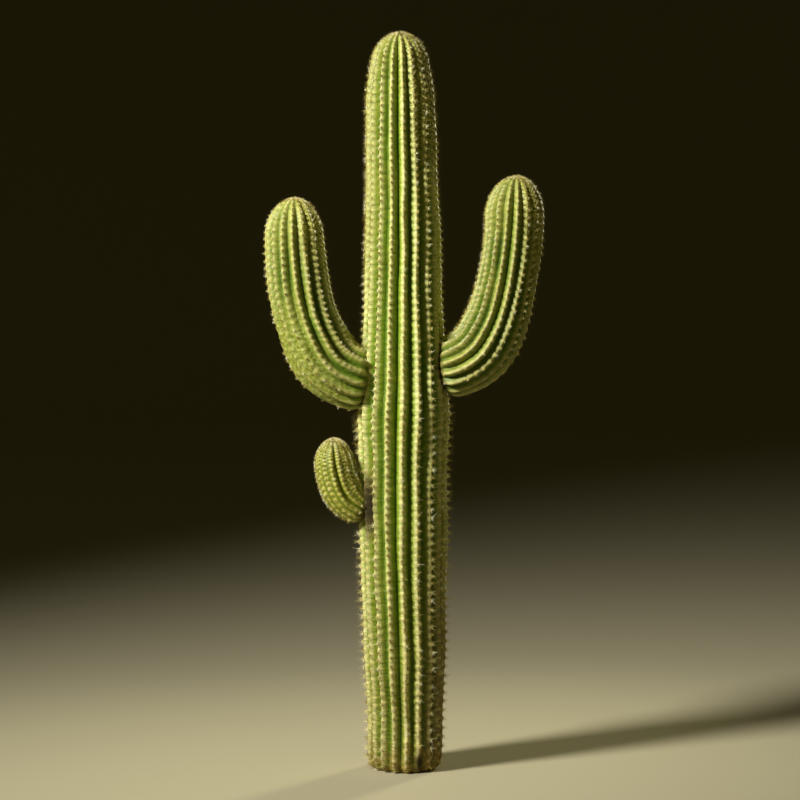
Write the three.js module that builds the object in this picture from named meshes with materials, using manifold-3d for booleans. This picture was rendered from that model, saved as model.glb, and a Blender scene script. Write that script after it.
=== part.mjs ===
// Saguaro cactus: a tall ribbed trunk, two arms that bend upward and one short young arm.
// Millimetres, +Z up. The origin is the middle of the flat cut at ground level, and the
// front of the plant looks along -Y.
import * as THREE from 'three';
import { mergeVertices } from 'three/addons/utils/BufferGeometryUtils.js';
import Module from 'manifold-3d';

const wasm = await Module();
wasm.setup();

// Sizes of the trunk. Pairs are [height, value], heights from the ground.
const TRUNK_HEIGHT = 4000;
const TRUNK_RIBS = 18;
const TRUNK_CREST_RADIUS = [
  [0, 207], [330, 211], [590, 225], [900, 232], [1340, 245], [1730, 247], [1950, 256],
  [2120, 243], [2340, 228], [2560, 216], [2990, 205], [3200, 196], [3420, 193],
  [3635, 186], [3740, 175], [3840, 159], [4000, 150],
];
const TRUNK_CENTRE_X = [[0, 0], [590, -1], [1340, -9], [2560, -10], [3200, -17], [4000, -31]];
// Direction of the first rib in degrees from +X: the ribs wander a little as they climb.
const TRUNK_RIB_TURN = [
  [0, -87.3], [600, -88.6], [1100, -91.6], [1900, -90.8], [2400, -89.4], [2900, -87.8], [3300, -86.4],
  [4000, -84.6],
];
const TRUNK_GROOVE_SHARE = [[0, 0.1], [150, 0.14], [500, 0.17], [3700, 0.19], [3920, 0.17], [4000, 0.05]];
const TRUNK_DOME_HEIGHT = 160;
const TRUNK_BODY_RINGS = 15;
const ROOT_EDGE_HEIGHT = 75;
const ROOT_EDGE_SHARE = 0.8;

// Sizes of the arms. "plan" is the direction of the arm seen from above, in degrees from +X.
// "line" is the arm's centre line as [distance from the trunk's axis, height] pairs.
// "radius" pairs are [share of the centre line's length, crest radius]. The neck is where the
// arm narrows to its seat: "neckStart" is its distance from the foot of the centre line.
const LEFT_ARM = {
  plan: 185,
  ribs: 16,
  firstRib: 16,
  line: [[137, 2114], [294, 2144], [416, 2220], [501, 2365], [560, 2550], [591, 2780], [602, 3113]],
  radius: [[0, 172], [0.13, 185], [0.3, 189], [0.45, 177], [0.6, 171], [0.8, 163], [1, 157]],
  grooveShare: 0.18,
  neckStart: 72,
  neckLength: 65,
  domeHeight: 200,
  splitAt: 0.4,
};
const RIGHT_ARM = {
  plan: -8,
  ribs: 17,
  firstRib: 6.6,
  line: [[115, 2184], [284, 2208], [404, 2284], [487, 2421], [544, 2610], [586, 2881], [604, 3230]],
  radius: [[0, 160], [0.13, 176], [0.3, 181], [0.45, 169], [0.6, 160], [0.8, 161], [1, 157]],
  grooveShare: 0.18,
  neckStart: 88,
  neckLength: 58,
  domeHeight: 205,
  splitAt: 0.4,
};
const YOUNG_ARM = {
  plan: 186,
  ribs: 16,
  firstRib: 8.75,
  line: [[121, 1392], [241, 1430], [324, 1500], [375, 1625], [396, 1815]],
  radius: [[0, 80], [0.2, 98], [0.4, 113], [0.7, 110], [1, 104]],
  grooveShare: 0.13,
  neckStart: 100,
  neckLength: 50,
  domeHeight: 150,
};

// Sizes the limbs share.
const NECK_SHARE = 0.5;
const NECK_STEPS = [0, 0.05, 0.2, 0.5, 1];
const POINTS_PER_RIB = 6;
const SEAT_GAP = 0.72;
const SPLIT_GAP = 0.4;
const DOME_STEPS = [72, 54, 38, 24, 11];
const ELBOW_BODY_RINGS = 4;
const UPPER_BODY_RINGS = 6;
const YOUNG_ARM_BODY_RINGS = 4;

const SKIN_COLOURS = {
  trunk: 0x8f9a45,
  arm: 0x96a24a,
  youngArm: 0x9dab4c,
};

const radians = (degrees) => (degrees * Math.PI) / 180;

// Value at a place along a list of [place, value] pairs, eased so that the outline stays smooth.
function valueAt(pairs, place) {
  const last = pairs.length - 1;
  if (place <= pairs[0][0]) return pairs[0][1];
  if (place >= pairs[last][0]) return pairs[last][1];
  let i = 0;
  while (place > pairs[i + 1][0]) i += 1;
  const slope = (k) => {
    const a = pairs[Math.max(k - 1, 0)];
    const b = pairs[Math.min(k + 1, last)];
    return (b[1] - a[1]) / (b[0] - a[0]);
  };
  const span = pairs[i + 1][0] - pairs[i][0];
  const t = (place - pairs[i][0]) / span;
  const rise = t * t * (3 - 2 * t);
  return pairs[i][1] * (1 - rise) + pairs[i + 1][1] * rise
    + span * slope(i) * t * (1 - t) * (1 - t)
    - span * slope(i + 1) * t * t * (1 - t);
}

// Share of the full radius left at a distance from the tip of a rounded end.
function domeShare(fromTip, domeHeight) {
  if (fromTip >= domeHeight) return 1;
  return Math.sqrt(Math.max(0, 1 - (1 - fromTip / domeHeight) ** 2));
}

// How far along its neck a place on an arm is, from 0 at the seat to 1 at the full radius.
function neckPlace(arm, fromFoot) {
  return Math.min(1, Math.max(0, (fromFoot - arm.neckStart) / arm.neckLength));
}

// Share of the full radius at a distance from the foot of an arm.
function neckShare(arm, fromFoot) {
  return NECK_SHARE + (1 - NECK_SHARE) * Math.sqrt(1 - (1 - neckPlace(arm, fromFoot)) ** 2);
}

// Distances from the tip of the rings of a rounded end, crowded toward the tip.
function domeDistances(domeHeight) {
  return DOME_STEPS.map((step) => domeHeight * (1 - Math.cos(radians(step))));
}

// One ring of points. A place across a rib is 0 on its crest and 0.5 in the groove beside it.
function ribbedRing(centre, sideways, upward, ribs, firstRib, crestRadius, grooveShare) {
  const ring = [];
  const count = ribs * POINTS_PER_RIB;
  for (let i = 0; i < count; i += 1) {
    const place = i / POINTS_PER_RIB;
    const fromCrest = Math.abs(place - Math.round(place));
    const groove = THREE.MathUtils.smoothstep(fromCrest, 0, 0.5);
    const radius = crestRadius * (1 - grooveShare * groove);
    const angle = radians(firstRib + (360 * place) / ribs);
    ring.push(centre.clone()
      .addScaledVector(sideways, radius * Math.cos(angle))
      .addScaledVector(upward, radius * Math.sin(angle)));
  }
  return ring;
}

// A closed solid through rings that run from foot to tip, each end a fan about its own point.
function solidThroughRings(rings, footPoint, tipPoint) {
  const count = rings[0].length;
  const points = [footPoint, ...rings.flat(), tipPoint];
  const faces = [];
  const at = (ring, i) => 1 + ring * count + (i % count);
  const tip = points.length - 1;
  for (let i = 0; i < count; i += 1) {
    faces.push(0, at(0, i + 1), at(0, i));
    for (let r = 0; r < rings.length - 1; r += 1) {
      faces.push(at(r, i), at(r, i + 1), at(r + 1, i + 1));
      faces.push(at(r, i), at(r + 1, i + 1), at(r + 1, i));
    }
    faces.push(tip, at(rings.length - 1, i), at(rings.length - 1, i + 1));
  }
  return new wasm.Manifold(new wasm.Mesh({
    numProp: 3,
    vertProperties: new Float32Array(points.flatMap((p) => p.toArray())),
    triVerts: new Uint32Array(faces),
  }));
}

// The trunk from its flat cut to its rounded top; "grow" widens it all round.
function trunkSolid(grow) {
  const heights = [0, ROOT_EDGE_HEIGHT * 0.3];
  const bodyTop = TRUNK_HEIGHT - TRUNK_DOME_HEIGHT;
  for (let i = 0; i <= TRUNK_BODY_RINGS; i += 1) {
    heights.push(ROOT_EDGE_HEIGHT + ((bodyTop - ROOT_EDGE_HEIGHT) * i) / TRUNK_BODY_RINGS);
  }
  domeDistances(TRUNK_DOME_HEIGHT).forEach((d) => heights.push(TRUNK_HEIGHT - d));
  const sideways = new THREE.Vector3(1, 0, 0);
  const across = new THREE.Vector3(0, 1, 0);
  const centreAt = (z) => new THREE.Vector3(valueAt(TRUNK_CENTRE_X, z), 0, z);
  const rings = heights.map((z) => {
    const root = Math.min(z / ROOT_EDGE_HEIGHT, 1);
    const rootShare = ROOT_EDGE_SHARE + (1 - ROOT_EDGE_SHARE) * Math.sqrt(1 - (1 - root) ** 2);
    const crest = valueAt(TRUNK_CREST_RADIUS, z) * rootShare
      * domeShare(TRUNK_HEIGHT - z, TRUNK_DOME_HEIGHT);
    const share = valueAt(TRUNK_GROOVE_SHARE, z);
    const turn = valueAt(TRUNK_RIB_TURN, z);
    return ribbedRing(centreAt(z), sideways, across, TRUNK_RIBS, turn, crest + grow, share);
  });
  return solidThroughRings(rings, centreAt(0), centreAt(TRUNK_HEIGHT + grow));
}

// The centre line of an arm as a curve in the upright plane that holds the trunk's axis.
function armCurve(arm) {
  const outward = new THREE.Vector3(Math.cos(radians(arm.plan)), Math.sin(radians(arm.plan)), 0);
  const points = arm.line.map(([out, up]) => outward.clone().multiplyScalar(out).setZ(up));
  const curve = new THREE.CatmullRomCurve3(points, false, 'centripetal');
  curve.arcLengthDivisions = 400;
  return { curve, length: curve.getLength(), normal: new THREE.Vector3(0, 0, 1).cross(outward) };
}

// A stretch of an arm between two distances from its foot; a stretch that ends at the arm's
// full length is closed by a rounded tip.
function armStretch(arm, from, to, bodyRings) {
  const { curve, length, normal } = armCurve(arm);
  const reachesTip = to >= length;
  const bodyEnd = reachesTip ? length - arm.domeHeight : to;
  const distances = [from];
  if (from === 0) NECK_STEPS.forEach((step) => distances.push(arm.neckStart + step * arm.neckLength));
  const bodyStart = distances[distances.length - 1];
  for (let i = 1; i <= bodyRings; i += 1) {
    distances.push(bodyStart + ((bodyEnd - bodyStart) * i) / bodyRings);
  }
  if (reachesTip) domeDistances(arm.domeHeight).forEach((d) => distances.push(length - d));
  const rings = distances.map((s) => {
    const centre = curve.getPointAt(s / length);
    const ahead = curve.getTangentAt(s / length);
    const outside = normal.clone().cross(ahead).normalize();
    const fromTip = length - s;
    const crest = valueAt(arm.radius, s / length) * neckShare(arm, s) * domeShare(fromTip, arm.domeHeight);
    const share = arm.grooveShare * Math.min(1, 0.25 + fromTip / arm.domeHeight)
      * Math.min(1, 0.4 + neckPlace(arm, s));
    return ribbedRing(centre, outside, normal, arm.ribs, arm.firstRib, crest, share);
  });
  const tipPoint = curve.getPointAt(Math.min(to / length, 1));
  return solidThroughRings(rings, curve.getPointAt(from / length), tipPoint);
}

// The lower and upper stretches of an arm that is split at its bend.
function elbowSolid(arm) {
  return armStretch(arm, 0, armCurve(arm).length * arm.splitAt - SPLIT_GAP / 2, ELBOW_BODY_RINGS);
}

function upperSolid(arm) {
  const { length } = armCurve(arm);
  return armStretch(arm, length * arm.splitAt + SPLIT_GAP / 2, length, UPPER_BODY_RINGS);
}

function youngArmSolid() {
  return armStretch(YOUNG_ARM, 0, armCurve(YOUNG_ARM).length, YOUNG_ARM_BODY_RINGS);
}

// A named mesh from a solid, with its own skin material.
function limbMesh(name, solid, colour) {
  const { vertProperties, triVerts } = solid.getMesh();
  const geometry = new THREE.BufferGeometry();
  geometry.setAttribute('position', new THREE.BufferAttribute(new Float32Array(vertProperties), 3));
  geometry.setIndex(new THREE.BufferAttribute(new Uint32Array(triVerts), 1));
  const whole = mergeVertices(geometry, 1e-3);
  whole.computeVertexNormals();
  const skin = new THREE.MeshStandardMaterial({ color: colour, roughness: 0.62, metalness: 0 });
  const mesh = new THREE.Mesh(whole, skin);
  mesh.name = name;
  return mesh;
}

const cactus = new THREE.Group();
cactus.name = 'saguaro_cactus';
const seat = trunkSolid(SEAT_GAP);
cactus.add(limbMesh('trunk', trunkSolid(0), SKIN_COLOURS.trunk));
cactus.add(limbMesh('left_arm_elbow', elbowSolid(LEFT_ARM).subtract(seat), SKIN_COLOURS.arm));
cactus.add(limbMesh('left_arm_upper', upperSolid(LEFT_ARM), SKIN_COLOURS.arm));
cactus.add(limbMesh('right_arm_elbow', elbowSolid(RIGHT_ARM).subtract(seat), SKIN_COLOURS.arm));
cactus.add(limbMesh('right_arm_upper', upperSolid(RIGHT_ARM), SKIN_COLOURS.arm));
cactus.add(limbMesh('young_arm', youngArmSolid().subtract(seat), SKIN_COLOURS.youngArm));

export default cactus;
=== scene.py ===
# Looks of the saguaro cactus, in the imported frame: +Z up, the front looks along -Y.
# Blender objects are in metres; the plant's own sizes below are in millimetres.
import math

import bpy
import numpy as np
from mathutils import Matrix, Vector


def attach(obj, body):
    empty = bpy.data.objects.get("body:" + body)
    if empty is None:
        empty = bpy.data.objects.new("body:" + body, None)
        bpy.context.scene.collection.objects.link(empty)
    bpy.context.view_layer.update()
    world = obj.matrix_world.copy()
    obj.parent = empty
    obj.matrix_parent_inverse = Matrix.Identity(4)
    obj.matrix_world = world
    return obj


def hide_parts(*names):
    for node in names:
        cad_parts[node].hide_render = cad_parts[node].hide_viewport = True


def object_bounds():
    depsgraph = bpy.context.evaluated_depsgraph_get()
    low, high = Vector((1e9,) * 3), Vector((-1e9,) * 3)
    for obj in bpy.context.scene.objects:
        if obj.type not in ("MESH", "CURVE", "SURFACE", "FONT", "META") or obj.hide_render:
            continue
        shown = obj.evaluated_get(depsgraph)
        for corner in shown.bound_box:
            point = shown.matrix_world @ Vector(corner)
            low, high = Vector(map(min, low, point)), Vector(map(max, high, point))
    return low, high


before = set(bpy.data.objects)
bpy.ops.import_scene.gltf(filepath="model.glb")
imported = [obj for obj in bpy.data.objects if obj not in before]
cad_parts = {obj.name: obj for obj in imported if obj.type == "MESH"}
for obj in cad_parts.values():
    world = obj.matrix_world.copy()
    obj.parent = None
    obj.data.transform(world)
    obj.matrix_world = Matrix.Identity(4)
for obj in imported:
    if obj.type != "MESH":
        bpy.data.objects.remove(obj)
cad_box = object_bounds()
MM = 0.001
TURN = 2 * math.pi

# Sizes of the limbs, as in the part's source. The trunk's go by height: the radius over its rib crests, its
# middle, the turn of its first rib in degrees and the depth of its grooves as a share of the radius.
TRUNK_HEIGHT = 4000.0
TRUNK_RIBS, TRUNK_DOME = 18, 160.0
TRUNK_CREST_RADIUS = [
    (0, 207), (330, 211), (590, 225), (900, 232), (1340, 245), (1730, 247), (1950, 256),
    (2120, 243), (2340, 228), (2560, 216), (2990, 205), (3200, 196), (3420, 193),
    (3635, 186), (3740, 175), (3840, 159), (4000, 150),
]
TRUNK_CENTRE_X = [(0, 0), (590, -1), (1340, -9), (2560, -10), (3200, -17), (4000, -31)]
TRUNK_RIB_TURN = [
    (0, -87.3), (600, -88.6), (1100, -91.6), (1900, -90.8), (2400, -89.4), (2900, -87.8), (3300, -86.4),
    (4000, -84.6),
]
TRUNK_GROOVE_SHARE = [(0, 0.10), (150, 0.15), (500, 0.18), (3700, 0.20), (3920, 0.18), (4000, 0.08)]
# the height of the rounded edge at the ground, and the shares of the radius at which it and a neck begin
ROOT_EDGE_HEIGHT, ROOT_EDGE_SHARE = 75.0, 0.8
NECK_SHARE = 0.5

# An arm's direction in plan and the turn of its first rib, in degrees, the depth of its grooves, the height
# of its domed tip, where its neck begins to widen and over what length, its line as (distance from the
# trunk's middle, height), and its radius by the share of its length.
LEFT_ARM = dict(
    plan=185, ribs=16, first_rib=16.0, groove=0.18, dome=200.0, neck=(72, 65),
    line=[(137, 2114), (294, 2144), (416, 2220), (501, 2365), (560, 2550), (591, 2780), (602, 3113)],
    radius=[(0, 172), (0.13, 185), (0.3, 189), (0.45, 177), (0.6, 171), (0.8, 163), (1, 157)],
)
RIGHT_ARM = dict(
    plan=-8, ribs=17, first_rib=6.6, groove=0.18, dome=205.0, neck=(88, 58),
    line=[(115, 2184), (284, 2208), (404, 2284), (487, 2421), (544, 2610), (586, 2881), (604, 3230)],
    radius=[(0, 160), (0.13, 176), (0.3, 181), (0.45, 169), (0.6, 160), (0.8, 161), (1, 157)],
)
YOUNG_ARM = dict(
    plan=186, ribs=16, first_rib=8.75, groove=0.13, dome=150.0, neck=(100, 50),
    line=[(121, 1392), (241, 1430), (324, 1500), (375, 1625), (396, 1815)],
    radius=[(0, 80), (0.2, 98), (0.4, 113), (0.7, 110), (1, 104)],
)

# The skin's mesh: rows of points for each areole up a rib, and places across a rib, where 0 is the crest.
ROWS_PER_AREOLE = 5.3
RIB_PHASES = np.array([-0.5, -0.40, -0.29, -0.18, -0.08, 0.0, 0.08, 0.18, 0.29, 0.40])

# The skin's relief. The skin lies a little within the limb's own radius, and more so where it is lumpy.
SKIN_SINK, LUMPY_SINK = 2.5, 4.0
# its tips lie lower, so that the spines on them end at the limbs' true tips
TIP_SINK = 10.0
# areoles stand closer together toward a tip
TIP_CROWDING, TIP_CROWDING_LENGTH = 0.34, 300.0
# ribs drift sideways, in shares of a rib, and swell and shrink in long waves
DRIFT_SHARE, DRIFT_LENGTHS = 0.05, (350, 1300)
SWELL_HEIGHT, SWELL_LENGTHS = 3.2, (220, 900)
LUMP_HEIGHT, LUMP_LENGTHS = 1.5, (14, 32)
# grooves are shallower where the skin is lumpy or shaggy
LUMPY_FILL, SHAGGY_FILL = 0.55, 0.35
# the trunk's swellings are lower near the ground, and an arm has none at its root
FOOT_KNOB_SHARE, FOOT_KNOB_HEIGHT = 0.45, 900.0
ARM_KNOBS_FROM, ARM_KNOBS_FULL = 120.0, 470.0
# the brown ring round an arm's root, beyond the neck, also painted shade where the arm meets the trunk
SEAM_FROM, SEAM_TO, SEAM_SHARE = 10, 42, 0.8
# the radius that turns an angle round the trunk into a distance beside an arm's seat
SEAT_REACH = 240.0

# Areoles, measured in their own spacing: where the first may stand, how far from the tip the last stays and
# how unevenly they are set.
FIRST_TRUNK_AREOLE, FIRST_ARM_AREOLE, LAST_AREOLE_GAP = 0.35, 2.2, 0.55
AREOLE_JITTER = 0.035
# how far up and down, in areoles, and across, in ribs, an areole's directions are measured
STEP_UP, STEP_ACROSS = 0.15, 0.06

# Wool pads: radius and height of each ring, and length, width and height, as shares of a pad's size.
PAD_SIDES = 7
PAD_RINGS = [(1.0, -0.35), (0.72, 0.62)]
PAD_SHAPE = np.array([1.25, 1.0, 0.5])

# Spines: how far they lean from straight out, in degrees, and how their thickness differs.
RADIAL_TILT, CENTRAL_TILT = (64, 86), (8, 58)
RADIAL_THICKNESS, CENTRAL_THICKNESS = 0.75, 1.25
# how far a spine may stand off the skin, and the box that no spine leaves: a little more than the limbs' own
SPINE_STAND = 44.0
SPINE_ROOM = np.array([cad_box[0], cad_box[1]], float) / MM + [(-38, -21, 0), (38, 21, 50)]
SPINE_ROOM[0, 2] = 2.0
# shares of the clusters that are cream, straw and brown
SPINE_SHARES = [0.28, 0.4, 0.32]


def value_at(pairs, place):
    """Value at a place along (place, value) pairs, eased as in the part's source."""
    xs, ys = np.array(pairs, float).T
    rise = np.append(ys[1:], ys[-1]) - np.insert(ys[:-1], 0, ys[0])
    run = np.append(xs[1:], xs[-1]) - np.insert(xs[:-1], 0, xs[0])
    slope = rise / run
    x = np.clip(place, xs[0], xs[-1])
    i = np.clip(np.searchsorted(xs, x, side="right") - 1, 0, len(xs) - 2)
    span = xs[i + 1] - xs[i]
    t = (x - xs[i]) / span
    ease = t * t * (3 - 2 * t)
    return (ys[i] * (1 - ease) + ys[i + 1] * ease + span * slope[i] * t * (1 - t) ** 2
            - span * slope[i + 1] * t * t * (1 - t))


def smooth(x):
    x = np.clip(x, 0.0, 1.0)
    return x * x * (3 - 2 * x)


def step(x, low, high):
    """An eased step: 0 below low and 1 above high."""
    return smooth((x - low) / (high - low))


def bell(x, width):
    return np.exp(-(x / width) ** 2)


def unit(v):
    return v / np.maximum(np.linalg.norm(v, axis=-1, keepdims=True), 1e-9)


def turned_from(angle, degrees):
    """How far an angle lies from a direction, the short way round."""
    return (angle - math.radians(degrees) + math.pi) % TURN - math.pi


def slow_waves(rng, count, lengths, amplitude, waves=3):
    """A function of (which, place) made of a few long sine waves, its own for each of count ribs."""
    turn = rng.uniform(0, TURN, (count, waves))
    wavelength = rng.uniform(lengths[0], lengths[1], (count, waves))
    size = rng.uniform(0.5, 1.0, (count, waves)) * amplitude / waves ** 0.5
    return lambda which, place: (size[which] * np.sin(TURN * place[..., None] / wavelength[which]
                                                      + turn[which])).sum(-1)


def ripples(rng, lengths, amplitude, waves=18):
    """A function of two places on a surface made of short sine waves that run in all directions."""
    way, turn = rng.uniform(0, TURN, waves), rng.uniform(0, TURN, waves)
    count = TURN / rng.uniform(lengths[0], lengths[1], waves)
    return lambda x, y: amplitude / waves ** 0.5 * np.sin(
        (x[..., None] * np.cos(way) + y[..., None] * np.sin(way)) * count + turn).sum(-1)


def centripetal_curve(points, steps=120):
    """Dense points of the centripetal Catmull-Rom curve through the given points."""
    p = np.array(points, float)
    p = np.vstack([2 * p[0] - p[1], p, 2 * p[-1] - p[-2]])
    out = []
    for i in range(1, len(p) - 2):
        a, b, c, d = p[i - 1:i + 3]
        ta, tb, tc = (max(np.linalg.norm(q), 1e-6) ** 0.5 for q in (b - a, c - b, d - c))
        m1 = ((b - a) / ta - (c - a) / (ta + tb) + (c - b) / tb) * tb
        m2 = ((c - b) / tb - (d - b) / (tb + tc) + (d - c) / tc) * tb
        t = np.linspace(0, 1, steps, endpoint=False)[:, None]
        out.append(b + m1 * t + (3 * (c - b) - 2 * m1 - m2) * t * t + (2 * (b - c) + m1 + m2) * t ** 3)
    out.append(p[-2][None])
    return np.vstack(out)


class Limb:
    """A ribbed limb: it gives points of its skin by (areole count from the foot, rib, place across the rib).

    pitch is the distance between areoles along the limb, and knob the height of the swelling at each. gaps is
    how dark the painted shade between two swellings is, on the crest and beside it. shaggy is where the close
    net of spines on the right side, the side away from the light, begins and is full, as shares of the length;
    its dark net cells, dots and wool are painted shade. lumpy is how uneven the skin is, all over or round the
    direction of the patch. bare is how far few areoles stand at the root, as a share of a large arm's. furrow
    is how deep each groove is beside the others.
    """

    def __init__(self, name, seed, ribs, dome, pitch, knob, first_rib=None, groove=None, plan=None, line=None,
                 radius=None, neck=None, length=0.0, knob_width=0.22, gaps=(0.38, 0.0), shaggy=(0.6, 0.9),
                 lumpy=0.0, patch=None, bare=1.0, seats=(), scars_and_shadows=()):
        rng = np.random.default_rng(seed)
        self.name, self.ribs, self.first_rib, self.length, self.dome = name, ribs, first_rib, length, dome
        self.knob, self.groove, self.plan, self.radius, self.neck = knob, groove, plan, radius, neck
        self.knob_width, self.gaps, self.shaggy, self.lumpy = knob_width, gaps, shaggy, lumpy
        self.patch, self.bare, self.seats, self.scars_and_shadows = patch, bare, seats, scars_and_shadows
        self.rng = rng
        if line is not None:
            self.line = centripetal_curve(line)
            lengths = np.linalg.norm(np.diff(self.line, axis=0), axis=1)
            self.line_d = np.insert(np.cumsum(lengths), 0, 0)
            self.length = self.line_d[-1] - TIP_SINK
        d = np.linspace(0, self.length - dome, 1500, endpoint=False)
        d = np.append(d, self.length - dome * (1 - np.cos(np.linspace(math.pi / 2, 0.02, 400))))
        meridian = np.insert(np.cumsum(np.hypot(np.diff(d), np.diff(self.crest(d)))), 0, 0)
        from_tip = meridian[-1] - meridian
        crowding = TIP_CROWDING + (1 - TIP_CROWDING) * smooth(from_tip / TIP_CROWDING_LENGTH)
        spacing = value_at(pitch, d) * crowding
        steps = np.diff(meridian) / (0.5 * (spacing[1:] + spacing[:-1]))
        self.table_d, self.table_a = d, np.insert(np.cumsum(steps), 0, 0)
        self.areoles = self.table_a[-1]
        # neighbouring ribs bear their areoles by turns
        self.start = (0.5 * (np.arange(ribs) % 2) + rng.uniform(-0.16, 0.16, ribs)) % 1.0
        self.drift = slow_waves(rng, ribs, DRIFT_LENGTHS, DRIFT_SHARE)
        self.swell = slow_waves(rng, ribs, SWELL_LENGTHS, SWELL_HEIGHT)
        self.lumps = ripples(rng, LUMP_LENGTHS, LUMP_HEIGHT)
        self.furrow = rng.uniform(0.93, 1.07, ribs)

    def crest(self, d):
        """Radius of the limb over its rib crests at a distance from the foot."""
        tip = np.clip(self.length - d, 0, self.dome)
        dome = np.sqrt(np.clip(1 - (1 - tip / self.dome) ** 2, 0, 1))
        if self.plan is None:
            root = np.clip(d / ROOT_EDGE_HEIGHT, 0, 1)
            edge = ROOT_EDGE_SHARE + (1 - ROOT_EDGE_SHARE) * np.sqrt(1 - (1 - root) ** 2)
            return value_at(TRUNK_CREST_RADIUS, d) * edge * dome
        neck = NECK_SHARE + (1 - NECK_SHARE) * np.sqrt(1 - (1 - self.neck_place(d)) ** 2)
        return value_at(self.radius, d / self.length) * neck * dome

    def neck_place(self, d):
        return np.clip((d - self.neck[0]) / self.neck[1], 0, 1)

    def groove_share(self, d):
        if self.plan is None:
            return value_at(TRUNK_GROOVE_SHARE, d)
        tip = (self.length - d) / self.dome
        return self.groove * np.minimum(1, 0.45 + tip) * np.minimum(1, 0.4 + self.neck_place(d))

    def line_place(self, d):
        """Distance from the trunk's middle, and height, of an arm's line at a distance from its foot."""
        return np.stack([np.interp(d, self.line_d, self.line[:, k]) for k in (0, 1)], -1)

    def axes(self, d):
        """Centre, outward and sideways directions of the cross-section at a distance from the foot."""
        zero, one = np.zeros_like(d), np.ones_like(d)
        if self.plan is None:
            return (np.stack([value_at(TRUNK_CENTRE_X, d), zero, d], -1),
                    np.stack([one, zero, zero], -1), np.stack([zero, one, zero], -1))
        a = math.radians(self.plan)
        out, side = np.array([math.cos(a), math.sin(a), 0]), np.array([-math.sin(a), math.cos(a), 0])
        up = np.array([0, 0, 1.0])
        place, near = self.line_place(d), 4.0
        ahead = unit(self.line_place(d + near) - self.line_place(d - near))
        centre = place[..., 0:1] * out + place[..., 1:2] * up
        outside = ahead[..., 1:2] * out - ahead[..., 0:1] * up
        return centre, outside, np.broadcast_to(side, centre.shape)

    def skin(self, a, rib, phase):
        """Points of the skin in millimetres, with the masks that colour it."""
        d = np.interp(a, self.table_a, self.table_d)
        rib = rib % self.ribs
        beside = (rib + np.where(phase < 0, -1, 1)) % self.ribs
        near = np.abs(phase)
        drift = self.drift(rib, d) * (1 - near) + self.drift(beside, d) * near
        swell = self.swell(rib, d) * (1 - near) + self.swell(beside, d) * near
        # 1 on an areole and 0 halfway to the next
        beat = 0.5 + 0.5 * np.cos(TURN * (a - self.start[rib]))
        # 0 on the crest and 1 in the groove, and the same as a depth with a rounded crest
        share = np.minimum(2 * near / (1 + 0.08 * (2 * beat - 1) * (1 - 2 * near)), 1.0)
        depth = 0.45 * share + 0.25 * smooth(share) + 0.30 * share ** 2
        crest = self.crest(d)
        tip = np.clip((self.length - d) / self.dome, 0, 1)
        if self.plan is None:
            turn = value_at(TRUNK_RIB_TURN, d)
            foot = smooth(d / FOOT_KNOB_HEIGHT) * (1 - FOOT_KNOB_SHARE) + FOOT_KNOB_SHARE
        else:
            turn = self.first_rib
            foot = step(d, ARM_KNOBS_FROM, ARM_KNOBS_FULL)
        angle = np.radians(turn + 360.0 / self.ribs * (rib + phase + drift * np.minimum(1, tip * 2)))
        # 1 on the plant's right side and -1 on its left
        facing = np.cos(angle + math.radians(self.plan or 0))
        # the shaggy side faces away from the light; its net, dark dots and dark wool are partly painted shade
        shag = step(facing, 0.05, 0.45) * step(d / self.length, *self.shaggy)
        mottle = self.mottle(d, angle)

        across = bell(phase, self.knob_width)
        knob = self.knob * (beat ** 1.5 - 0.42) * across * foot * np.minimum(1, 0.35 + tip)
        fill = (1 - LUMPY_FILL * mottle) * (1 - SHAGGY_FILL * shag)
        furrow = self.furrow[np.where(phase < 0, beside, rib)]
        reach = crest * (1 - self.groove_share(d) * fill * furrow * depth)
        reach = reach + knob + swell * np.minimum(1, tip + 0.2) - SKIN_SINK - LUMPY_SINK * mottle
        reach = np.maximum(reach + mottle * self.lumps(d, angle * 180), 0.4)

        # scars: brown, sunken patches; the one right of the young arm's root is darkened as painted shadow of
        # that arm
        scar = np.zeros_like(d)
        for plan, height, wide, tall, sunk in self.scars_and_shadows:
            off = turned_from(angle, plan)
            mark = np.exp(-((off * crest / wide) ** 2 + ((d - height) / tall) ** 2) ** 1.5)
            reach = reach - sunk * mark
            scar = np.maximum(scar, mark)
        # the seam: brown skin and painted shade where an arm meets the trunk
        seam = np.zeros_like(d)
        if self.plan is not None:
            seam = SEAM_SHARE * (1 - step(d - self.neck[0], SEAM_FROM, SEAM_TO))
        for plan, height, seat_radius, push, hollow in self.seats:
            # the ribs part a little round an arm's root, and a hollow ring runs round it, darkened as painted
            # shade
            off = turned_from(angle, plan)
            u, v = off * SEAT_REACH, d - height
            parting = push * np.exp(-1.2 * (u * u + v * v) / seat_radius ** 2)
            angle = angle + off * parting
            e = np.hypot(u * (1 + parting), v) / seat_radius
            ring = bell(np.maximum(e, 0.8) - 0.8, 0.25)
            reach = reach - hollow * ring
            seam = np.maximum(seam, ring)

        centre, outside, sideways = self.axes(d)
        point = centre + reach[..., None] * (np.cos(angle)[..., None] * outside
                                             + np.sin(angle)[..., None] * sideways)
        areole = beat ** 3 * bell(phase, 0.15)
        # painted shade in the dips between swellings: on the crest, and on the young arm all over
        gap = (1 - smooth(2.1 * beat * bell(phase, 0.42))) * step(d, 40, 300)
        gap = gap * (self.gaps[0] * across + self.gaps[1] * (1 - across))
        dull = np.zeros_like(d)
        if self.plan is None:
            areole = areole * (0.45 + 0.55 * smooth(d / 1300))
            # painted shade: the trunk's upper left side is darkened from about 2.3 m up
            dull = step(-facing, 0.6, 0.95) * step(d, 2300, 2900)
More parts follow.
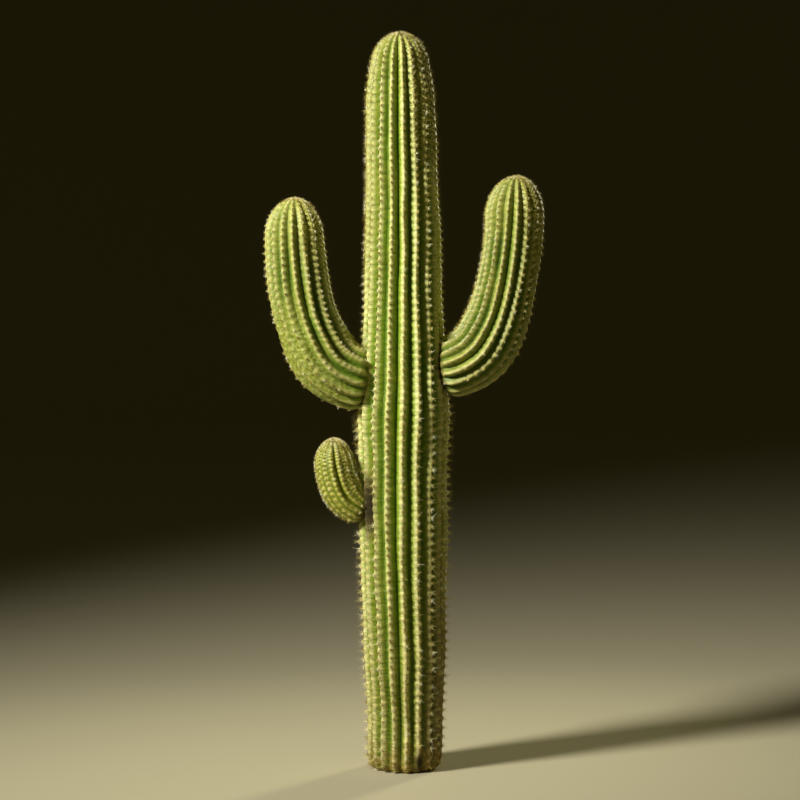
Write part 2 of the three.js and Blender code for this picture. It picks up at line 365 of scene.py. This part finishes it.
        # the trunk's lower right side, away from the light, is browned as weathering and darkened as painted
        # shade
        masks = dict(crest=1 - depth, knob=areole, seam=seam, mottle=mottle, height=d, scar=scar, shag=shag,
                     gap=gap, dull=dull, tip=1 - smooth((self.length - d) / (self.dome * 2.2)),
                     stain=step(facing, 0.3, 0.8) * (1 - smooth(d / 2100)))
        return point, masks

    def mottle(self, d, angle):
        """How lumpy and blotched the skin is, all over or on one side of the bend."""
        if self.patch is None:
            return np.full_like(d, self.lumpy)
        along = step(d, 90, 210) * (1 - step(d, 480, 860))
        return self.lumpy * along * (1 - step(np.abs(turned_from(angle, self.patch)), 0.6, 1.25))

    def contains(self, points, margin):
        """True where a point lies within the limb's crest radius less a margin."""
        if self.plan is None:
            z = points[:, 2]
            off = np.hypot(points[:, 0] - value_at(TRUNK_CENTRE_X, z), points[:, 1])
            return off < self.crest(np.clip(z, 0, self.length)) - margin
        d = np.linspace(0, self.length, 160)
        centre, _, _ = self.axes(d)
        gap = np.linalg.norm(points[:, None] - centre[None], axis=-1) - self.crest(d)[None]
        return gap.min(1) < -margin


def new_object(name, verts, faces, materials, smooth_faces=True, face_slots=None):
    mesh = bpy.data.meshes.new(name)
    mesh.from_pydata(np.asarray(verts, float) * MM, [], faces)
    for material in materials:
        mesh.materials.append(material)
    if smooth_faces:
        mesh.polygons.foreach_set("use_smooth", np.ones(len(mesh.polygons), bool))
    if face_slots is not None:
        mesh.polygons.foreach_set("material_index", np.asarray(face_slots, np.int32))
    mesh.update()
    obj = bpy.data.objects.new(name, mesh)
    bpy.context.scene.collection.objects.link(obj)
    return obj


def ring_quads(rings, count):
    """Four-sided faces between closed rings of count points each, whose points are listed ring by ring."""
    r, c = np.meshgrid(np.arange(rings - 1), np.arange(count), indexing="ij")
    n = (c + 1) % count
    low, high = r * count, (r + 1) * count
    return np.stack([low + c, low + n, high + n, high + c], -1).reshape(-1, 4)


def limb_skin(limb, material):
    """The limb's fine skin: rows of points up the limb, closed by a fan at each end."""
    # the last row stops just short of the tip
    rows = np.arange(0, limb.areoles - 0.12, 1.0 / ROWS_PER_AREOLE)
    per = len(RIB_PHASES)
    count = limb.ribs * per
    rib = np.repeat(np.arange(limb.ribs), per)[None].repeat(len(rows), 0)
    phase = np.tile(RIB_PHASES, limb.ribs)[None].repeat(len(rows), 0)
    points, masks = limb.skin(rows[:, None].repeat(count, 1), rib, phase)
    flat = points.reshape(-1, 3)
    tip_centre, _, _ = limb.axes(np.array([limb.length]))
    verts = np.vstack([flat, points[0].mean(0), tip_centre])
    c = np.arange(count)
    n = (c + 1) % count
    last = (len(rows) - 1) * count
    low = np.stack([np.full(count, len(flat)), n, c], -1)
    high = np.stack([np.full(count, len(flat) + 1), last + c, last + n], -1)
    faces = ring_quads(len(rows), count).tolist() + low.tolist() + high.tolist()
    obj = new_object(limb.name + "_skin", verts, faces, [material])
    # the materials read the height in metres
    for key, values in masks.items():
        full = np.concatenate([values.ravel(), [values[0].mean(), values[-1].mean()]])
        layer = obj.data.attributes.new(key, "FLOAT", "POINT")
        layer.data.foreach_set("value", (full * (MM if key == "height" else 1)).astype(np.float32))
    add_uv(obj, len(rows), count)
    return obj


def add_uv(obj, rows, count):
    """The skin unrolled: across by its place round the limb, and up by its row, with the fans at the ends."""
    c = np.arange(count)

    def up(row):
        return row / rows * 0.98 + 0.01

    def fan(second, third, centre_v, edge_v):
        u = np.stack([(c + 0.5) / count, second / count, third / count], -1)
        return np.stack([u, np.array([centre_v, edge_v, edge_v])[None].repeat(count, 0)], -1)

    across = np.tile(c, rows - 1)
    row = np.repeat(np.arange(rows - 1), count)
    quads = np.stack([np.stack([across, across + 1, across + 1, across], -1) / count,
                      up(np.stack([row, row, row + 1, row + 1], -1))], -1)
    uv = [quads, fan(c + 1.0, c, 0.0, up(0)), fan(c, c + 1.0, 1.0, up(rows - 1))]
    layer = obj.data.uv_layers.new(name="OFBake")
    layer.data.foreach_set("uv", np.vstack([part.reshape(-1, 2) for part in uv]).astype(np.float32).ravel())


def areole_frames(limb, others):
    """Crest point, outward, upward and sideways directions at every areole that shows."""
    rng = limb.rng
    first = FIRST_TRUNK_AREOLE if limb.plan is None else FIRST_ARM_AREOLE
    a, rib = [], []
    for r in range(limb.ribs):
        ks = np.arange(0, int(limb.areoles) + 1) + limb.start[r]
        ks = ks[(ks > first) & (ks < limb.areoles - LAST_AREOLE_GAP)]
        a.append(ks)
        rib.append(np.full(len(ks), r))
    a, rib = np.concatenate(a), np.concatenate(rib)
    count = len(a)
    a = a + rng.normal(0, AREOLE_JITTER, count)
    zero = np.zeros(count)
    point, masks = limb.skin(a, rib, zero)
    up = unit(limb.skin(a + STEP_UP, rib, zero)[0] - limb.skin(a - STEP_UP, rib, zero)[0])
    side = unit(limb.skin(a, rib, zero + STEP_ACROSS)[0] - limb.skin(a, rib, zero - STEP_ACROSS)[0])
    out = unit(np.cross(side, up))
    # fewer stand at an arm's root, on its patch and in a scar, and none inside another limb
    keep = np.ones(count, bool)
    if limb.plan is not None:
        from_root = (masks["height"] - 120 * limb.bare) / (260 * limb.bare ** 3)
        keep &= rng.random(count) < 0.3 + 0.7 * smooth(from_root)
        if limb.patch is not None:
            keep &= rng.random(count) > 0.45 * masks["mottle"]
    keep &= rng.random(count) > 0.95 * smooth(masks["scar"] / 0.35)
    for other, margin in others:
        keep &= ~other.contains(point, margin)
    side = unit(np.cross(up, out))
    return dict(point=point[keep], out=out[keep], up=up[keep], side=side[keep], tip=masks["tip"][keep],
                height=masks["height"][keep], shaggy=masks["shag"][keep])


def pad_mesh(name, frames, rng, size, materials):
    """Small domed wool pads, one on each areole, joined; size is one number or one for each."""
    t = np.arange(PAD_SIDES) * TURN / PAD_SIDES
    count = len(frames["point"])
    scale = size * rng.uniform(0.85, 1.15, count) * (1 - 0.25 * frames["tip"]) * (1 + 0.6 * frames["shaggy"])
    rings = [np.stack([r * np.cos(t), r * np.sin(t), np.full(PAD_SIDES, h)], -1) for r, h in PAD_RINGS]
    shape = np.vstack(rings + [np.array([[0, 0, 1.0]])])
    local = shape[None] * PAD_SHAPE * scale[:, None, None]
    local = local * rng.uniform(0.93, 1.07, local.shape)
    verts = (frames["point"][:, None] + local[..., 0:1] * frames["up"][:, None]
             + local[..., 1:2] * frames["side"][:, None] + local[..., 2:3] * frames["out"][:, None])
    k = np.arange(PAD_SIDES)
    n = (k + 1) % PAD_SIDES
    quads = np.stack([k, k + PAD_SIDES, n + PAD_SIDES, n], -1)
    top = np.stack([k + PAD_SIDES, np.full(PAD_SIDES, 2 * PAD_SIDES), n + PAD_SIDES], -1)
    tris = np.concatenate([quads[:, [0, 1, 2]], quads[:, [0, 2, 3]], top])[:, ::-1]
    faces = (tris[None] + (np.arange(count) * len(shape))[:, None, None]).reshape(-1, 3)
    # two pale kinds of wool at random, and on most pads of the shaggy side, away from the light, the dark kind
    # as painted shade
    dark = rng.random(count) < 0.7 * frames["shaggy"]
    slots = np.repeat(np.where(dark, 2, rng.integers(0, 2, count)), len(tris))
    return new_object(name, verts.reshape(-1, 3), faces, materials, True, slots)


def spine_mesh(name, frames, rng, radial, central, radial_length, central_length, thick, materials):
    """Stiff tapered spines in a cluster on each areole, joined; each cluster takes one plain colour."""
    count = len(frames["point"])
    each = radial + central
    around, inside = (count, radial), (count, central)
    # radial spines lie nearly flat, closest together up and down the rib, and central ones stand out
    turn = (np.arange(radial) + rng.uniform(-0.3, 0.3, around)) * TURN / radial
    turn = turn - 0.28 * np.sin(2 * turn)
    tilt = np.radians(rng.uniform(*RADIAL_TILT, around))
    length = rng.uniform(*radial_length, around)
    start = rng.uniform(0, TURN, (count, 1))
    turn_c = start + (np.arange(central) + rng.uniform(-0.25, 0.25, inside)) * TURN / central
    tilt_c = np.radians(rng.uniform(*CENTRAL_TILT, inside))
    length_c = rng.uniform(*central_length, inside)
    turn, tilt = np.hstack([turn, turn_c]), np.hstack([tilt, tilt_c])
    shaggy = frames["shaggy"][:, None]
    length = np.hstack([length * (1 + 0.25 * shaggy), length_c * (1 + 0.2 * shaggy)])
    length = length * (1 - 0.3 * frames["tip"][:, None])
    length = np.minimum(length, SPINE_STAND / np.maximum(np.cos(tilt), 0.2))

    out, up, side = (frames[k][:, None] for k in ("out", "up", "side"))
    lean = np.sin(tilt)[..., None] * (np.cos(turn)[..., None] * up + np.sin(turn)[..., None] * side)
    aim = unit(np.cos(tilt)[..., None] * out + lean)
    base = frames["point"][:, None] + 1.2 * out + 1.6 * lean
    room = np.where(aim > 0, SPINE_ROOM[1] - base, base - SPINE_ROOM[0]) / np.maximum(np.abs(aim), 1e-3)
    length = np.clip(room.min(-1), 0.5, length)

    wide = unit(np.cross(aim, np.broadcast_to(up * 0.3 + side, aim.shape) + 0.01))
    deep = np.cross(aim, wide)
    radius = thick * rng.uniform(0.75, 1.15, (count, each))[..., None]
    radius[:, :radial] *= RADIAL_THICKNESS + 0.1 * shaggy[..., None]
    radius[:, radial:] *= CENTRAL_THICKNESS
    corners = [base + radius * (math.cos(q) * wide + math.sin(q) * deep) for q in (0, TURN / 3, 2 * TURN / 3)]
    verts = np.stack(corners + [base + aim * length[..., None]], 2).reshape(-1, 3)
    cone = np.array([[0, 1, 3], [1, 2, 3], [2, 0, 3]])
    faces = (cone[None] + (np.arange(count * each) * 4)[:, None, None]).reshape(-1, 3)
    slots = np.repeat(rng.choice(len(materials), count, p=SPINE_SHARES), each * len(cone))
    return new_object(name, verts, faces, materials, False, slots)


# Materials.
class Nodes:
    """Short calls that add shader nodes to a material."""

    def __init__(self, name):
        self.material = bpy.data.materials.new(name)
        self.material.use_nodes = True
        self.tree = self.material.node_tree
        self.shader = self.tree.nodes["Principled BSDF"]

    def put(self, socket, value):
        if isinstance(value, bpy.types.NodeSocket):
            self.tree.links.new(value, socket)
        elif value is not None:
            socket.default_value = value

    def mask(self, name):
        node = self.tree.nodes.new("ShaderNodeAttribute")
        node.attribute_name = name
        return node.outputs["Fac"]

    def place(self, scale=(1, 1, 1)):
        coords = self.tree.nodes.new("ShaderNodeTexCoord")
        mapping = self.tree.nodes.new("ShaderNodeMapping")
        mapping.inputs["Scale"].default_value = scale
        self.tree.links.new(coords.outputs["Object"], mapping.inputs["Vector"])
        return mapping.outputs["Vector"]

    def noise(self, scale, detail=3.0, rough=0.55, stretch=(1, 1, 1)):
        node = self.tree.nodes.new("ShaderNodeTexNoise")
        self.put(node.inputs["Vector"], self.place(stretch))
        node.inputs["Scale"].default_value = scale
        node.inputs["Detail"].default_value = detail
        node.inputs["Roughness"].default_value = rough
        return node.outputs["Fac"]

    def cell_edge(self, scale):
        """How far a point lies from the edge of its cell, in a net of uneven cells."""
        node = self.tree.nodes.new("ShaderNodeTexVoronoi")
        node.feature = "DISTANCE_TO_EDGE"
        self.put(node.inputs["Vector"], self.place())
        node.inputs["Scale"].default_value = scale
        return node.outputs["Distance"]

    def math(self, operation, a, b=None, clamp=False):
        node = self.tree.nodes.new("ShaderNodeMath")
        node.operation = operation
        node.use_clamp = clamp
        self.put(node.inputs[0], a)
        self.put(node.inputs[1], b)
        return node.outputs[0]

    def times(self, a, b):
        return self.math("MULTIPLY", a, b)

    def ranged(self, value, low, high, to_low=0.0, to_high=1.0):
        node = self.tree.nodes.new("ShaderNodeMapRange")
        node.interpolation_type = "SMOOTHSTEP"
        self.put(node.inputs["Value"], value)
        for key, number in zip(("From Min", "From Max", "To Min", "To Max"), (low, high, to_low, to_high)):
            node.inputs[key].default_value = number
        return node.outputs["Result"]

    def mix(self, factor, a, b, blend="MIX"):
        node = self.tree.nodes.new("ShaderNodeMix")
        node.data_type = "RGBA"
        node.blend_type = blend
        self.put(node.inputs["Factor"], factor)
        self.put(node.inputs[6], a)
        self.put(node.inputs[7], b)
        return node.outputs[2]

    def tinted(self, colour, tint):
        return self.mix(1.0, colour, tint, "MULTIPLY")

    def ramp(self, factor, stops):
        node = self.tree.nodes.new("ShaderNodeValToRGB")
        ramp = node.color_ramp
        ramp.interpolation = "EASE"
        while len(ramp.elements) < len(stops):
            ramp.elements.new(0.5)
        for element, (position, colour) in zip(ramp.elements, stops):
            element.position = position
            element.color = colour
        self.put(node.inputs["Fac"], factor)
        return node.outputs["Color"]

    def bump(self, height, distance, strength=1.0, normal=None):
        node = self.tree.nodes.new("ShaderNodeBump")
        node.inputs["Distance"].default_value = distance
        node.inputs["Strength"].default_value = strength
        self.put(node.inputs["Height"], height)
        self.put(node.inputs["Normal"], normal)
        return node.outputs["Normal"]


def rgb(r, g, b):
    """A base colour from 0-255 display values."""
    linear = [((c / 255 + 0.055) / 1.055) ** 2.4 if c > 10 else c / 255 / 12.92 for c in (r, g, b)]
    return (*linear, 1.0)


# The colours of each limb's skin: from groove to crest, at its areoles, and between them as painted shade,
# and how strong its yellow patches are. Then the colours that the limbs share.
TRUNK_COLOURS = dict(groove=rgb(80, 110, 4), flank=rgb(120, 146, 26), crest=rgb(196, 195, 124),
                     areole=rgb(188, 176, 98), between=rgb(104, 112, 20), patches=0.22)
ARM_COLOURS = dict(groove=rgb(66, 93, 4), flank=rgb(101, 122, 20), crest=rgb(161, 161, 92),
                   areole=rgb(188, 176, 98), between=rgb(96, 104, 18), patches=0.30)
YOUNG_COLOURS = dict(groove=rgb(80, 96, 4), flank=rgb(132, 142, 16), crest=rgb(190, 188, 88),
                     areole=rgb(196, 190, 92), between=rgb(92, 96, 4), patches=0.5)
TIP_GREEN = rgb(172, 174, 88)
OLD_FLANK, OLD_CREST = rgb(122, 130, 36), rgb(198, 190, 132)
YELLOW_PATCH = rgb(172, 166, 76)
# the shaggy side's net: cells darkened as painted shade, lines pale as spines catching the light, dots darkened
# as painted shade
NET_CELL_SHADE, NET_LINE_LIT, SHAGGY_DOT_SHADE = rgb(104, 98, 12), rgb(238, 230, 128), rgb(60, 46, 8)
BLOTCHES = [(0.3, rgb(92, 80, 14)), (0.41, rgb(114, 122, 24)), (0.52, rgb(140, 146, 56)),
            (0.62, rgb(176, 176, 102))]
# the olive of the painted shade on the trunk's upper left side
UPPER_LEFT_SHADE_GREEN = rgb(140, 138, 58)
# brown weathering and painted shade on the trunk's lower right side
STAIN_AND_SHADE_TINT, STAIN_AND_SHADE_BROWN = rgb(150, 120, 60), rgb(92, 74, 20)
CORK = [(0.35, rgb(88, 66, 20)), (0.6, rgb(146, 120, 50)), (0.8, rgb(188, 166, 96))]
# near-black brown of the scars, also painted shadow beside the young arm, and brown of the seams, also painted
# shade
SCAR_AND_SHADOW_BROWN, SEAM_AND_SHADE_BROWN = rgb(34, 28, 1), rgb(70, 50, 20)
# tints that darken and lighten the skin by a noise, from its low to its high places
GRAIN = [(0.30, (0.66, 0.66, 0.56, 1)), (0.5, (0.98, 0.98, 0.98, 1)), (0.70, (1.24, 1.22, 1.2, 1))]
WRINKLES = [(0.32, (0.68, 0.72, 0.58, 1)), (0.5, (1, 1, 1, 1)), (0.68, (1.2, 1.17, 1.15, 1))]
FOOT_MARKS = [(0.38, (0.7, 0.7, 0.55, 1)), (0.5, (1, 1, 1, 1)), (0.62, (1.3, 1.26, 1.2, 1))]
# how high the cork at the ground reaches, in metres
CORK_HEIGHT = 0.20


def skin_material(name, groove, flank, crest, areole, between, patches, rooted=False):
    """Waxy ribbed skin: dark groove, green flank, pale crest, brown with painted shade at seams, corky at the
    ground.
    """
    n = Nodes(name)
    broad = n.noise(5.0, 3.0)
    middle = n.noise(26.0, 4.0)
    fine = n.noise(120.0, 4.0, 0.7)
    wrinkle = n.noise(44.0, 4.0, 0.65, (0.4, 0.4, 1.5))
    height = n.mask("height")

    # from groove to crest, with an uneven edge
    uneven = n.math("ADD", n.times(middle, 0.28), n.times(wrinkle, 0.28))
    crest_mask = n.math("ADD", n.mask("crest"), n.math("SUBTRACT", uneven, 0.28))
    skin = n.ramp(crest_mask, [(0.05, groove), (0.47, flank), (0.83, crest)])
    if rooted:
        old = n.ramp(crest_mask, [(0.05, groove), (0.45, OLD_FLANK), (0.8, OLD_CREST)])
        skin = n.mix(n.ranged(height, 1.5, 0.1, 0.0, 0.85), skin, old)

    # streaks, patches and the colours of areoles and tips
    streaks = n.noise(70.0, 4.0, 0.65, (1.0, 1.0, 0.12))
    skin = n.mix(n.ranged(streaks, 0.5, 0.78, 0.0, 0.25), skin, crest)
    skin = n.mix(n.ranged(broad, 0.42, 0.72, 0.0, patches), skin, YELLOW_PATCH)
    skin = n.mix(n.ranged(middle, 0.56, 0.8, 0.0, 0.35), skin, groove)
    skin = n.mix(n.ranged(n.mask("knob"), 0.12, 0.75, 0.0, 0.58), skin, areole)
    skin = n.mix(n.times(n.mask("tip"), 0.45), skin, TIP_GREEN)

    # the shaggy side's net of spines, its dark cells and dark areoles painted shade and its pale lines spines
    # catching the light, and painted shade in the dips between swellings
    net = n.mix(n.ranged(n.cell_edge(56.0), 0.02, 0.13, 1.0, 0.0), NET_CELL_SHADE, NET_LINE_LIT)
    skin = n.mix(n.times(n.mask("shag"), 0.6), skin, net)
    dots = n.ranged(n.times(n.mask("shag"), n.mask("knob")), 0.1, 0.45, 0.0, 0.6)
    skin = n.mix(dots, skin, SHAGGY_DOT_SHADE)
    skin = n.mix(n.times(n.mask("gap"), 0.8), skin, between)

    # blotches on lumpy skin; painted shade on the trunk's upper left side, and brown weathering
    # with painted shade on its lower right side, which faces away from the light
    blotches = n.ramp(n.noise(62.0, 4.0, 0.68), BLOTCHES + [(0.72, crest)])
    skin = n.mix(n.times(n.mask("mottle"), 0.75), skin, blotches)
    if rooted:
        skin = n.mix(n.times(n.mask("dull"), 0.55), skin, UPPER_LEFT_SHADE_GREEN)
        stain = n.times(n.mask("stain"), n.ranged(middle, 0.3, 0.6, 0.5, 0.9))
        skin = n.mix(stain, skin, n.mix(0.5, n.tinted(skin, STAIN_AND_SHADE_TINT), STAIN_AND_SHADE_BROWN))

    # cork at the ground, scars, one also painted shadow, and the seams where limbs meet, brown with painted
    # shade
    cork_colour = n.ramp(n.noise(60.0, 5.0, 0.7), CORK)
    scar = n.times(n.mask("scar"), n.ranged(middle, 0.25, 0.5, 0.75, 1.0))
    cork = scar
    if rooted:
        cork_edge = n.math("ADD", height, n.times(n.math("SUBTRACT", middle, 0.5), -0.4))
        cork = n.math("MAXIMUM", scar, n.ranged(cork_edge, CORK_HEIGHT, 0.0, 0.0, 0.75))
    skin = n.mix(cork, skin, cork_colour)
    skin = n.mix(scar, skin, n.mix(0.97, cork_colour, SCAR_AND_SHADOW_BROWN))
    seam = n.times(n.mask("seam"), n.ranged(middle, 0.25, 0.6, 0.55, 1.0))
    skin = n.mix(n.times(seam, 0.9), skin, SEAM_AND_SHADE_BROWN)

    # grain and wrinkles, and marks on the trunk's foot
    skin = n.tinted(n.tinted(skin, n.ramp(fine, GRAIN)), n.ramp(wrinkle, WRINKLES))
    if rooted:
        marks = n.ramp(n.noise(52.0, 3.0, 0.6, (0.35, 0.35, 1.4)), FOOT_MARKS)
        skin = n.mix(n.ranged(height, 1.7, 0.4, 0.0, 0.85), skin, n.tinted(skin, marks))

    n.put(n.shader.inputs["Base Color"], skin)
    rough = n.ranged(fine, 0.3, 0.7, 0.44, 0.62)
    n.put(n.shader.inputs["Roughness"], n.math("ADD", rough, n.times(cork, 0.3), True))
    n.shader.inputs["Specular IOR Level"].default_value = 0.4
    n.shader.inputs["Specular Tint"].default_value = (1.0, 0.99, 0.85, 1)
    relief = n.bump(wrinkle, 0.0035, 0.7)
    n.put(n.shader.inputs["Normal"], n.bump(fine, 0.0016, 0.6, relief))
    return n.material


def plain_material(name, colour, roughness, grain_scale, grain_depth):
    """A plain base colour with a fine grain in its relief."""
    n = Nodes(name)
    n.shader.inputs["Base Color"].default_value = colour
    n.shader.inputs["Roughness"].default_value = roughness
    n.shader.inputs["Specular IOR Level"].default_value = 0.25
    n.put(n.shader.inputs["Normal"], n.bump(n.noise(grain_scale, 2.0), grain_depth, 0.6))
    return n.material


trunk_skin_material = skin_material("trunk_skin_look", **TRUNK_COLOURS, rooted=True)
arm_skin_material = skin_material("arm_skin_look", **ARM_COLOURS)
young_skin_material = skin_material("young_skin_look", **YOUNG_COLOURS)
wool = [plain_material(name, colour, 0.95, 900.0, 0.0005) for name, colour in (
    ("wool_tan", rgb(178, 164, 88)), ("wool_pale", rgb(206, 196, 128)), ("wool_dark", rgb(72, 56, 14)))]
spine_colours = [plain_material(name, colour, roughness, 600.0, 0.0001) for name, colour, roughness in (
    ("spine_cream", rgb(240, 232, 184), 0.6), ("spine_straw", rgb(218, 204, 130), 0.6),
    ("spine_brown", rgb(158, 140, 66), 0.65))]

# The plant. A seat is where an arm leaves the trunk: its direction in plan, height and radius, how far it parts
# the ribs and how deep the hollow round it is. A scar is a brown patch, the one right of the young arm's root
# also painted shadow of that arm: its direction in plan, height, width, tallness and depth.
trunk = Limb("trunk", 11, TRUNK_RIBS, TRUNK_DOME, knob=5.0, length=TRUNK_HEIGHT - TIP_SINK,
             pitch=[(0, 50), (700, 47), (1400, 44), (2400, 41), (4000, 38)], shaggy=(0.72, 0.92),
             seats=[(185, 2140, 125, 0.12, 7), (-8, 2200, 118, 0.12, 6), (186, 1400, 45, 0.04, 3)],
             scars_and_shadows=[(213, 1450, 62, 165, 9), (-65, 60, 30, 50, 9)])
left_arm = Limb("left_arm", 12, pitch=[(0, 38), (1400, 37)], knob=4.4, lumpy=1.0, patch=24, **LEFT_ARM)
right_arm = Limb("right_arm", 13, pitch=[(0, 38), (1400, 37)], knob=4.8, **RIGHT_ARM)
# the young arm's swellings stand apart in painted shade, and one of its shallow grooves is much deeper than the
# rest
young_arm = Limb("young_arm", 14, pitch=[(0, 29), (700, 25)], knob=6.5, knob_width=0.3, gaps=(1.0, 1.0),
                 shaggy=(0.25, 0.55), lumpy=0.3, bare=0.7, **YOUNG_ARM)
young_arm.furrow[:] = 0.38
young_arm.furrow[3] = 2.0

limbs = [
    (trunk, trunk_skin_material, "trunk_skin", ["trunk"]),
    (left_arm, arm_skin_material, "arm_skin", ["left_arm_elbow", "left_arm_upper"]),
    (right_arm, arm_skin_material, "arm_skin", ["right_arm_elbow", "right_arm_upper"]),
    (young_arm, young_skin_material, "young_arm_skin", ["young_arm"]),
]
for limb, material, slot, nodes in limbs:
    obj = limb_skin(limb, material)
    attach(obj, "root")
    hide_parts(*nodes)
    others = [(left_arm, 4), (right_arm, 4), (young_arm, 3)] if limb is trunk else [(trunk, -6)]
    frames = areole_frames(limb, others)
    rng = np.random.default_rng(100 + limb.ribs)
    # the size of the wool pads, and of each joined piece of spines: name, which areoles, number of radial and
    # central spines, their lengths and their thickness
    whole = slice(None)
    if limb is trunk:
        low = frames["height"] < 2000
        pad = 2.9 + 0.9 * (1 - smooth(frames["height"] / 2600))
        clusters = [("trunk_spines_low", low, 18, 5, (12, 22), (22, 46), 0.6),
                    ("trunk_spines_high", ~low, 18, 5, (10, 18), (12, 27), 0.6)]
    elif limb is young_arm:
        pad = 2.5
        clusters = [("young_arm_spines", whole, 14, 5, (11, 17), (11, 19), 0.65)]
    else:
        pad = 2.7
        clusters = [(limb.name + "_spines", whole, 16, 4, (9, 16), (11, 22), 0.58)]
    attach(pad_mesh(limb.name + "_wool", frames, rng, pad, wool), "root")
    for name, which, *sizes in clusters:
        part = {key: values[which] for key, values in frames.items()}
        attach(spine_mesh(name, part, rng, *sizes, spine_colours), "root")


# Stage, lights and camera, in metres.
def round_stage(material, flat=26.0, rise=12.0, sides=96):
    """A round floor that turns up into a wall far from the plant, so that it is behind it in every view."""
    turns = np.linspace(0.12, math.pi / 2, 12)
    outline = [(r, 0.0) for r in np.linspace(2, flat, 12)]
    outline += [(flat + rise * math.sin(t), rise - rise * math.cos(t)) for t in turns]
    a = np.arange(sides) * TURN / sides
    rings = [np.stack([r * np.cos(a), r * np.sin(a), np.full(sides, z)], -1) for r, z in outline]
    verts = np.vstack(rings + [np.zeros((1, 3))]) - (0, 0, 0.001)
    c = np.arange(sides)
    middle = np.stack([np.full(sides, len(verts) - 1), c, (c + 1) % sides], -1)
    faces = ring_quads(len(outline), sides)[:, [0, 3, 2, 1]].tolist() + middle.tolist()
    return new_object("floor", verts / MM, faces, [material])


paper = plain_material("paper", rgb(176, 168, 136), 0.9, 40.0, 0.0004)
round_stage(paper)


def area_light(name, place, aim, size, power, colour, spread):
    """A round light that points at the aim; power is in watts and spread in degrees."""
    data = bpy.data.lights.new(name, "AREA")
    data.shape, data.size, data.energy, data.color = "DISK", size, power, colour
    data.spread = math.radians(spread)
    obj = bpy.data.objects.new(name, data)
    obj.location = place
    direction = np.array(aim, float) - np.array(place, float)
    yaw = math.atan2(direction[1], direction[0]) - math.pi / 2
    pitch = math.atan2(direction[2], math.hypot(direction[0], direction[1]))
    obj.rotation_euler = (math.pi / 2 + pitch, 0, yaw)
    obj.visible_camera = False
    bpy.context.scene.collection.objects.link(obj)


area_light("key", place=(-7.75, -5.2, 8.0), aim=(0, 0, 2.4), size=2.2, power=326,
           colour=(1.0, 0.98, 0.94), spread=66)
area_light("fill", place=(4.5, -9.5, 6.5), aim=(0, 0, 3.9), size=4.0, power=5,
           colour=(1.0, 0.92, 0.3), spread=50)
area_light("rim", place=(5.0, 7.5, 4.6), aim=(0, 0, 2.4), size=1.6, power=64,
           colour=(1.0, 0.95, 0.65), spread=50)

world = bpy.data.worlds.new("studio")
world.use_nodes = True
background = world.node_tree.nodes["Background"]
background.inputs["Color"].default_value = (1.0, 0.92, 0.35, 1)
background.inputs["Strength"].default_value = 0.025
bpy.context.scene.world = world

bpy.context.scene.view_settings.view_transform = "Standard"

# The camera looks from the front, a little down.
CAMERA_PLACE, CAMERA_DOWN = (-0.027, -14.0, 2.9), 3.62
camera_data = bpy.data.cameras.new("camera")
camera_data.lens = 116.3
camera_data.sensor_width = 36
camera = bpy.data.objects.new("camera", camera_data)
camera.location = CAMERA_PLACE
camera.rotation_euler = (math.radians(90 - CAMERA_DOWN), 0, 0)
bpy.context.scene.collection.objects.link(camera)
bpy.context.scene.camera = camera
